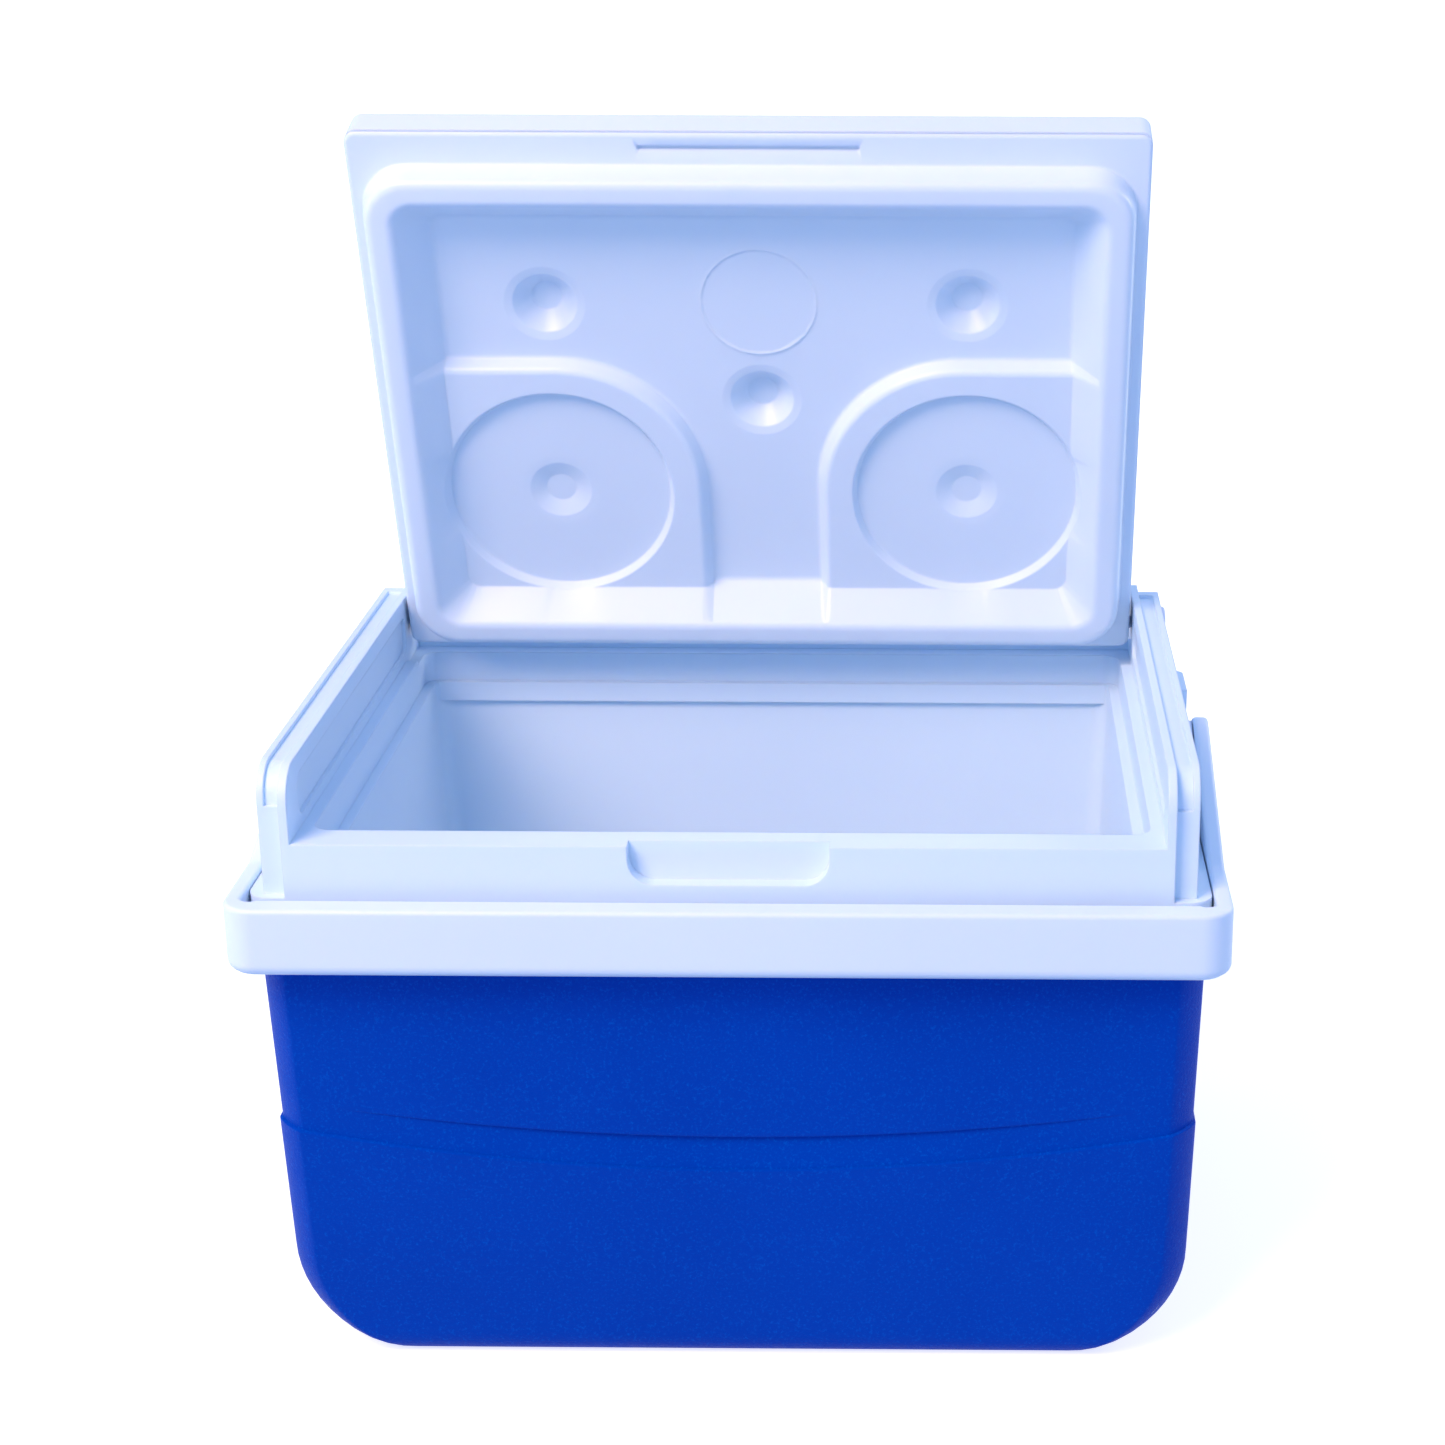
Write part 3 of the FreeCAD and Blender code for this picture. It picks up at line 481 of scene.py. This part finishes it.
def underside(x, s):
    """Height of the lid's underside below its flange."""
    inside = inside_ring_by(x, s)
    plate = np.where(inside > PLATE_IN_RING,
                     np.interp(inside_plate_by(x, s), *PLATE_PROFILE.T), NO_PLATE)
    height = smooth_maximum(np.interp(inside, *RING_PROFILE.T), plate)
    for side in (-1, 1):
        r = np.hypot(x - side * CUP_X, s - CUP_S)
        share = np.interp(CUP_RADIUS - r, *DISC_PROFILE.T)
        height = height * (1 - share) + CUP_LEVEL * share
    for cx, cs, deep in DIMPLES:
        height = height - deep * np.interp(np.hypot(x - cx, s - cs), *DIMPLE_PROFILE.T)
    r = np.hypot(x - LABEL_X, s - LABEL_S)
    height = height + LABEL_RISE * np.interp(np.abs(r - LABEL_RADIUS), LABEL_LINE, (1, 0))
    slot = round_box_distance(x, s, -SLOT_HALF, SLOT_HALF, SLOT_S - SLOT_WIDE / 2,
                              SLOT_S + SLOT_WIDE / 2, SLOT_WIDE / 2)
    height = height - SLOT_DEEP * np.interp(slot, SLOT_EDGE, (1, 0))
    edge = -round_box_distance(x, s, -LID_HALF_X, LID_HALF_X, 0.0, LID_LONG, LID_CORNER)
    return height + np.interp(edge, *EDGE_PROFILE.T)


def plate_outline(e, side):
    """Line at depth e inside the raised corner, kept within the lid."""
    radius = PLATE_ROUND - e
    corner_x, corner_s = PLATE_X + PLATE_ROUND, PLATE_S - PLATE_ROUND
    outline = [(LID_HALF_X - PLATE_MARGIN, PLATE_S - e)]
    for k in range(25):
        a = math.radians(90 + 90 * k / 24)
        outline.append((corner_x + radius * math.cos(a), corner_s + radius * math.sin(a)))
    outline += [(PLATE_X + e, PLATE_MARGIN), (LID_HALF_X - PLATE_MARGIN, PLATE_MARGIN)]
    return [(side * x, s) for x, s in outline]


def lid_underside():
    outlines = [rounded_outline(-LID_HALF_X + d, LID_HALF_X - d, d, LID_LONG - d,
                                LID_CORNER - min(d, 3)) for d in EDGE_PROFILE[:-1, 0]]
    for d in RING_PROFILE[1:-1, 0]:
        x0, x1, s0, s1, radius = ring_outline_size(d)
        outlines.append(rounded_outline(x0, x1, s0, s1, radius, 5.0, 10))
    for side in (-1, 1):
        outlines += [plate_outline(e, side) for e in PLATE_PROFILE[1:-1, 0]]
        outlines += [circle(side * CUP_X, CUP_S, CUP_RADIUS - f, 112)
                     for f in DISC_PROFILE[1:-1, 0]]
    for cx, cs, _ in DIMPLES:
        outlines += [circle(cx, cs, r, 48) for r in DIMPLE_PROFILE[1:-1, 0]]
    near, far = LABEL_LINE
    outlines += [circle(LABEL_X, LABEL_S, LABEL_RADIUS + t, 84) for t in (-far, -near, near, far)]
    for grow in reversed(SLOT_EDGE):
        half = SLOT_WIDE / 2 + grow
        outlines.append(rounded_outline(-SLOT_HALF - grow, SLOT_HALF + grow, SLOT_S - half,
                                        SLOT_S + half, half))
    flat, faces = sheet_from_outlines(outlines, underside)
    points = [lid_place(x, s, n) for x, s, n in flat]
    piece = make_piece("lid_inner_moulding", points, faces, lid_white, "lid",
                       ["lid_inner_shell"])
    shell = piece.modifiers.new("wall", "SOLIDIFY")
    shell.thickness = LID_SKIN * MM
    shell.offset = -1
    weighted_normals(piece)


# ---- handle ----------------------------------------------------------------------------
BAR_TOP, BAR_BOTTOM = 144.4, HANDLE_LOW[2]
ARM_THICK, BAR_THICK = 4.55, 8.0
CAP_RADIUS, CAP_SUNK, PIVOT_HOLE = 7.15, 1.75, 4.06
BAR_CORNER = 9.0
CUT_PAST = 3.0                        # the holes are cut from this far outside the arm
CUT_THROUGH = 9.0
HUB = 10.0
ARM_CLIMB = math.radians(73)
HUB_LOW = (0.3, 0.954)                # where the arm's lower edge leaves the hub, in hub radii
ARM_BEND_Y = -68.5
LOW_BEND_BACK = 8                     # the lower edge bends this far behind the upper one
EDGE_SMALL, EDGE_LARGE = 1.1, 3.6     # roundings of the strap's section


def arm_heights(y):
    """Lower and upper edge of the handle at y, seen from the side."""
    top_y, top_z = PIVOT_Y - HUB * math.cos(ARM_CLIMB), PIVOT_Z + HUB * math.sin(ARM_CLIMB)
    low_y, low_z = PIVOT_Y + HUB * HUB_LOW[0], PIVOT_Z - HUB * HUB_LOW[1]
    round_hub = math.sqrt(max(0.0, HUB ** 2 - (y - PIVOT_Y) ** 2))
    low, top = PIVOT_Z - round_hub, PIVOT_Z + round_hub
    if y < top_y:
        top = np.interp(y, (ARM_BEND_Y, top_y), (BAR_TOP, top_z))
    if y < low_y:
        low = np.interp(y, (ARM_BEND_Y + LOW_BEND_BACK, low_y), (BAR_BOTTOM, low_z))
    return float(low), float(top)


def strap_section(thick, low, high):
    """Rounded section: (depth from the outer face, height) round the strap."""
    tall = high - low
    small = min(EDGE_SMALL, tall * 0.3)
    large = min(EDGE_LARGE, tall * 0.45, thick * 0.6)
    corners = ((0.0, low, large, 180), (thick, low, small, 270), (thick, high, small, 0),
               (0.0, high, small, 90))
    section = []
    for depth, z, radius, start in corners:
        cx = depth + radius if depth == 0.0 else depth - radius
        cz = z + radius if z == low else z - radius
        for k in range(7):
            a = math.radians(start + 90 * k / 6)
            section.append((cx + radius * math.cos(a), cz + radius * math.sin(a)))
    return section


def bail_handle():
    out_x, front_y, back_y = HANDLE_HIGH[0], HANDLE_LOW[1], HANDLE_HIGH[1]
    # each station is a place on the outer face, the direction in from it, and the thickness
    half = []
    hub_run = [PIVOT_Y + HUB * math.sin(math.pi / 2 * k / 14) for k in range(14, 0, -1)]
    arm_run = list(np.linspace(PIVOT_Y, ARM_BEND_Y + 12, 12)) + \
        list(np.linspace(ARM_BEND_Y + 10, ARM_BEND_Y - 4, 9)) + \
        list(np.linspace(ARM_BEND_Y - 8, front_y + BAR_CORNER, 6))
    for y in hub_run + arm_run:
        half.append((-out_x, float(y), 1.0, 0.0, ARM_THICK))
    for k in range(1, 13):
        a = math.pi / 2 * k / 12
        thick = ARM_THICK + (BAR_THICK - ARM_THICK) * k / 12
        half.append((-out_x + BAR_CORNER * (1 - math.cos(a)),
                     front_y + BAR_CORNER * (1 - math.sin(a)), math.cos(a), math.sin(a), thick))
    middle = [(x, front_y, 0.0, 1.0, BAR_THICK)
              for x in np.linspace(-out_x + BAR_CORNER + 8, out_x - BAR_CORNER - 8, 24)]
    other = [(-x, y, -nx, ny, t) for x, y, nx, ny, t in reversed(half)]
    stations = half + middle + other
    points = []
    for x, y, nx, ny, thick in stations:
        low, high = arm_heights(min(y, back_y - 0.02))
        for depth, z in strap_section(thick, low, high):
            points.append((x + nx * depth, y + ny * depth, z))
    rows = len(stations)
    per_row = len(points) // rows
    faces = grid_faces(rows, per_row)
    faces.append(tuple(range(per_row)))
    faces.append(tuple(reversed(range((rows - 1) * per_row, rows * per_row))))
    piece = make_piece("handle_moulding", points, faces, white, "handle",
                       ["bail_handle"])
    holes = []
    for side in (-1, 1):
        for depth, radius in ((CAP_SUNK, CAP_RADIUS), (CUT_THROUGH, PIVOT_HOLE)):
            ends = sorted((side * (out_x - depth), side * (out_x + CUT_PAST)))
            holes.append((*ends, PIVOT_Y, PIVOT_Z, radius))
    drilled(piece, holes)
    weighted_normals(piece)


tub()
lid_underside()
bail_handle()

FINISHES = (("inner_liner", liner_white), ("lid_top_shell", lid_white), ("insulation", foam),
            ("lid_insulation", foam), ("lid_hinge_pin", pin_white), ("handle_pivot", pin_white),
            ("handle_spacer", pin_white))
for name, node_object in NODES.items():
    for start, material in FINISHES:
        if name.startswith(start):
            node_object.data.materials.clear()
            node_object.data.materials.append(material)


# ---- stage, light and camera -----------------------------------------------------------
FLOOR_HALF = 8.0
GLOW_DISTANCE, GLOW_STRENGTH = (0.25, 1.1), (0.72, 0.95)   # painted light: the floor glows to wash out the object's shadow, paler away from the object
SKY = (0.39, 0.55, 0.95, 1)


def floor():
    mesh = bpy.data.meshes.new("floor")
    size = FLOOR_HALF
    mesh.from_pydata([(-size, -size, 0), (size, -size, 0), (size, size, 0), (-size, size, 0)], [],
                     [(0, 1, 2, 3)])
    ground = bpy.data.objects.new("floor", mesh)
    bpy.context.scene.collection.objects.link(ground)
    pale = bpy.data.materials.new("glowing_pale_floor")
    pale.use_nodes = True
    shader = pale.node_tree.nodes["Principled BSDF"]
    shader.inputs["Base Color"].default_value = (0.62, 0.62, 0.64, 1)
    shader.inputs["Roughness"].default_value = 0.9
    # The floor's emission is painted light, not a lamp: it washes out the object's cast shadow,
    # weaker near the object.
    shader.inputs["Emission Color"].default_value = (1, 1, 1, 1)
    tree = pale.node_tree
    place = tree.nodes.new("ShaderNodeTexCoord")
    away = tree.nodes.new("ShaderNodeVectorMath")
    away.operation = "LENGTH"
    glow = tree.nodes.new("ShaderNodeMapRange")
    glow.inputs["From Min"].default_value = GLOW_DISTANCE[0]
    glow.inputs["From Max"].default_value = GLOW_DISTANCE[1]
    glow.inputs["To Min"].default_value = GLOW_STRENGTH[0]
    glow.inputs["To Max"].default_value = GLOW_STRENGTH[1]
    tree.links.new(place.outputs["Object"], away.inputs[0])
    tree.links.new(away.outputs["Value"], glow.inputs["Value"])
    tree.links.new(glow.outputs["Result"], shader.inputs["Emission Strength"])
    mesh.materials.append(pale)
    ground.visible_diffuse = False    # the floor adds no bounced light to the object


def soft_light(name, place, target, size, power, colour):
    light = bpy.data.lights.new(name, "AREA")
    light.shape = "RECTANGLE"
    light.size, light.size_y = size
    light.energy = power
    light.color = colour
    lamp = bpy.data.objects.new(name, light)
    lamp.location = place
    lamp.rotation_euler = (Vector(target) - Vector(place)).to_track_quat("-Z", "Y").to_euler()
    bpy.context.scene.collection.objects.link(lamp)


floor()
soft_light("key_softbox", (-0.72, -0.98, 1.35), (0, 0, 0.15), (0.8, 0.8), 27, (1.0, 0.71, 0.56))
soft_light("back_softbox", (1.3, 1.0, 0.8), (0, 0, 0.15), (0.7, 0.7), 9, (1.0, 0.85, 0.75))
soft_light("side_softbox", (-1.2, -0.05, 0.35), (0, 0, 0.12), (0.4, 0.5), 3, (0.5, 0.7, 1.0))

world = bpy.data.worlds.new("studio")
bpy.context.scene.world = world
world.use_nodes = True
sky = world.node_tree.nodes["Background"]
sky.inputs["Color"].default_value = SKY
sky.inputs["Strength"].default_value = 0.9

bpy.context.scene.view_settings.view_transform = "Standard"
bpy.context.scene.view_settings.look = "None"

lens = bpy.data.cameras.new("camera")
lens.lens = 67.67
lens.sensor_width = 36.0
lens.shift_x = -0.1522
camera = bpy.data.objects.new("camera", lens)
camera.location = (0.0610, -0.7649, 0.4244)
camera.rotation_euler = Euler((math.radians(71.08), math.radians(-0.19), math.radians(0.41)))
bpy.context.scene.collection.objects.link(camera)
bpy.context.scene.camera = camera
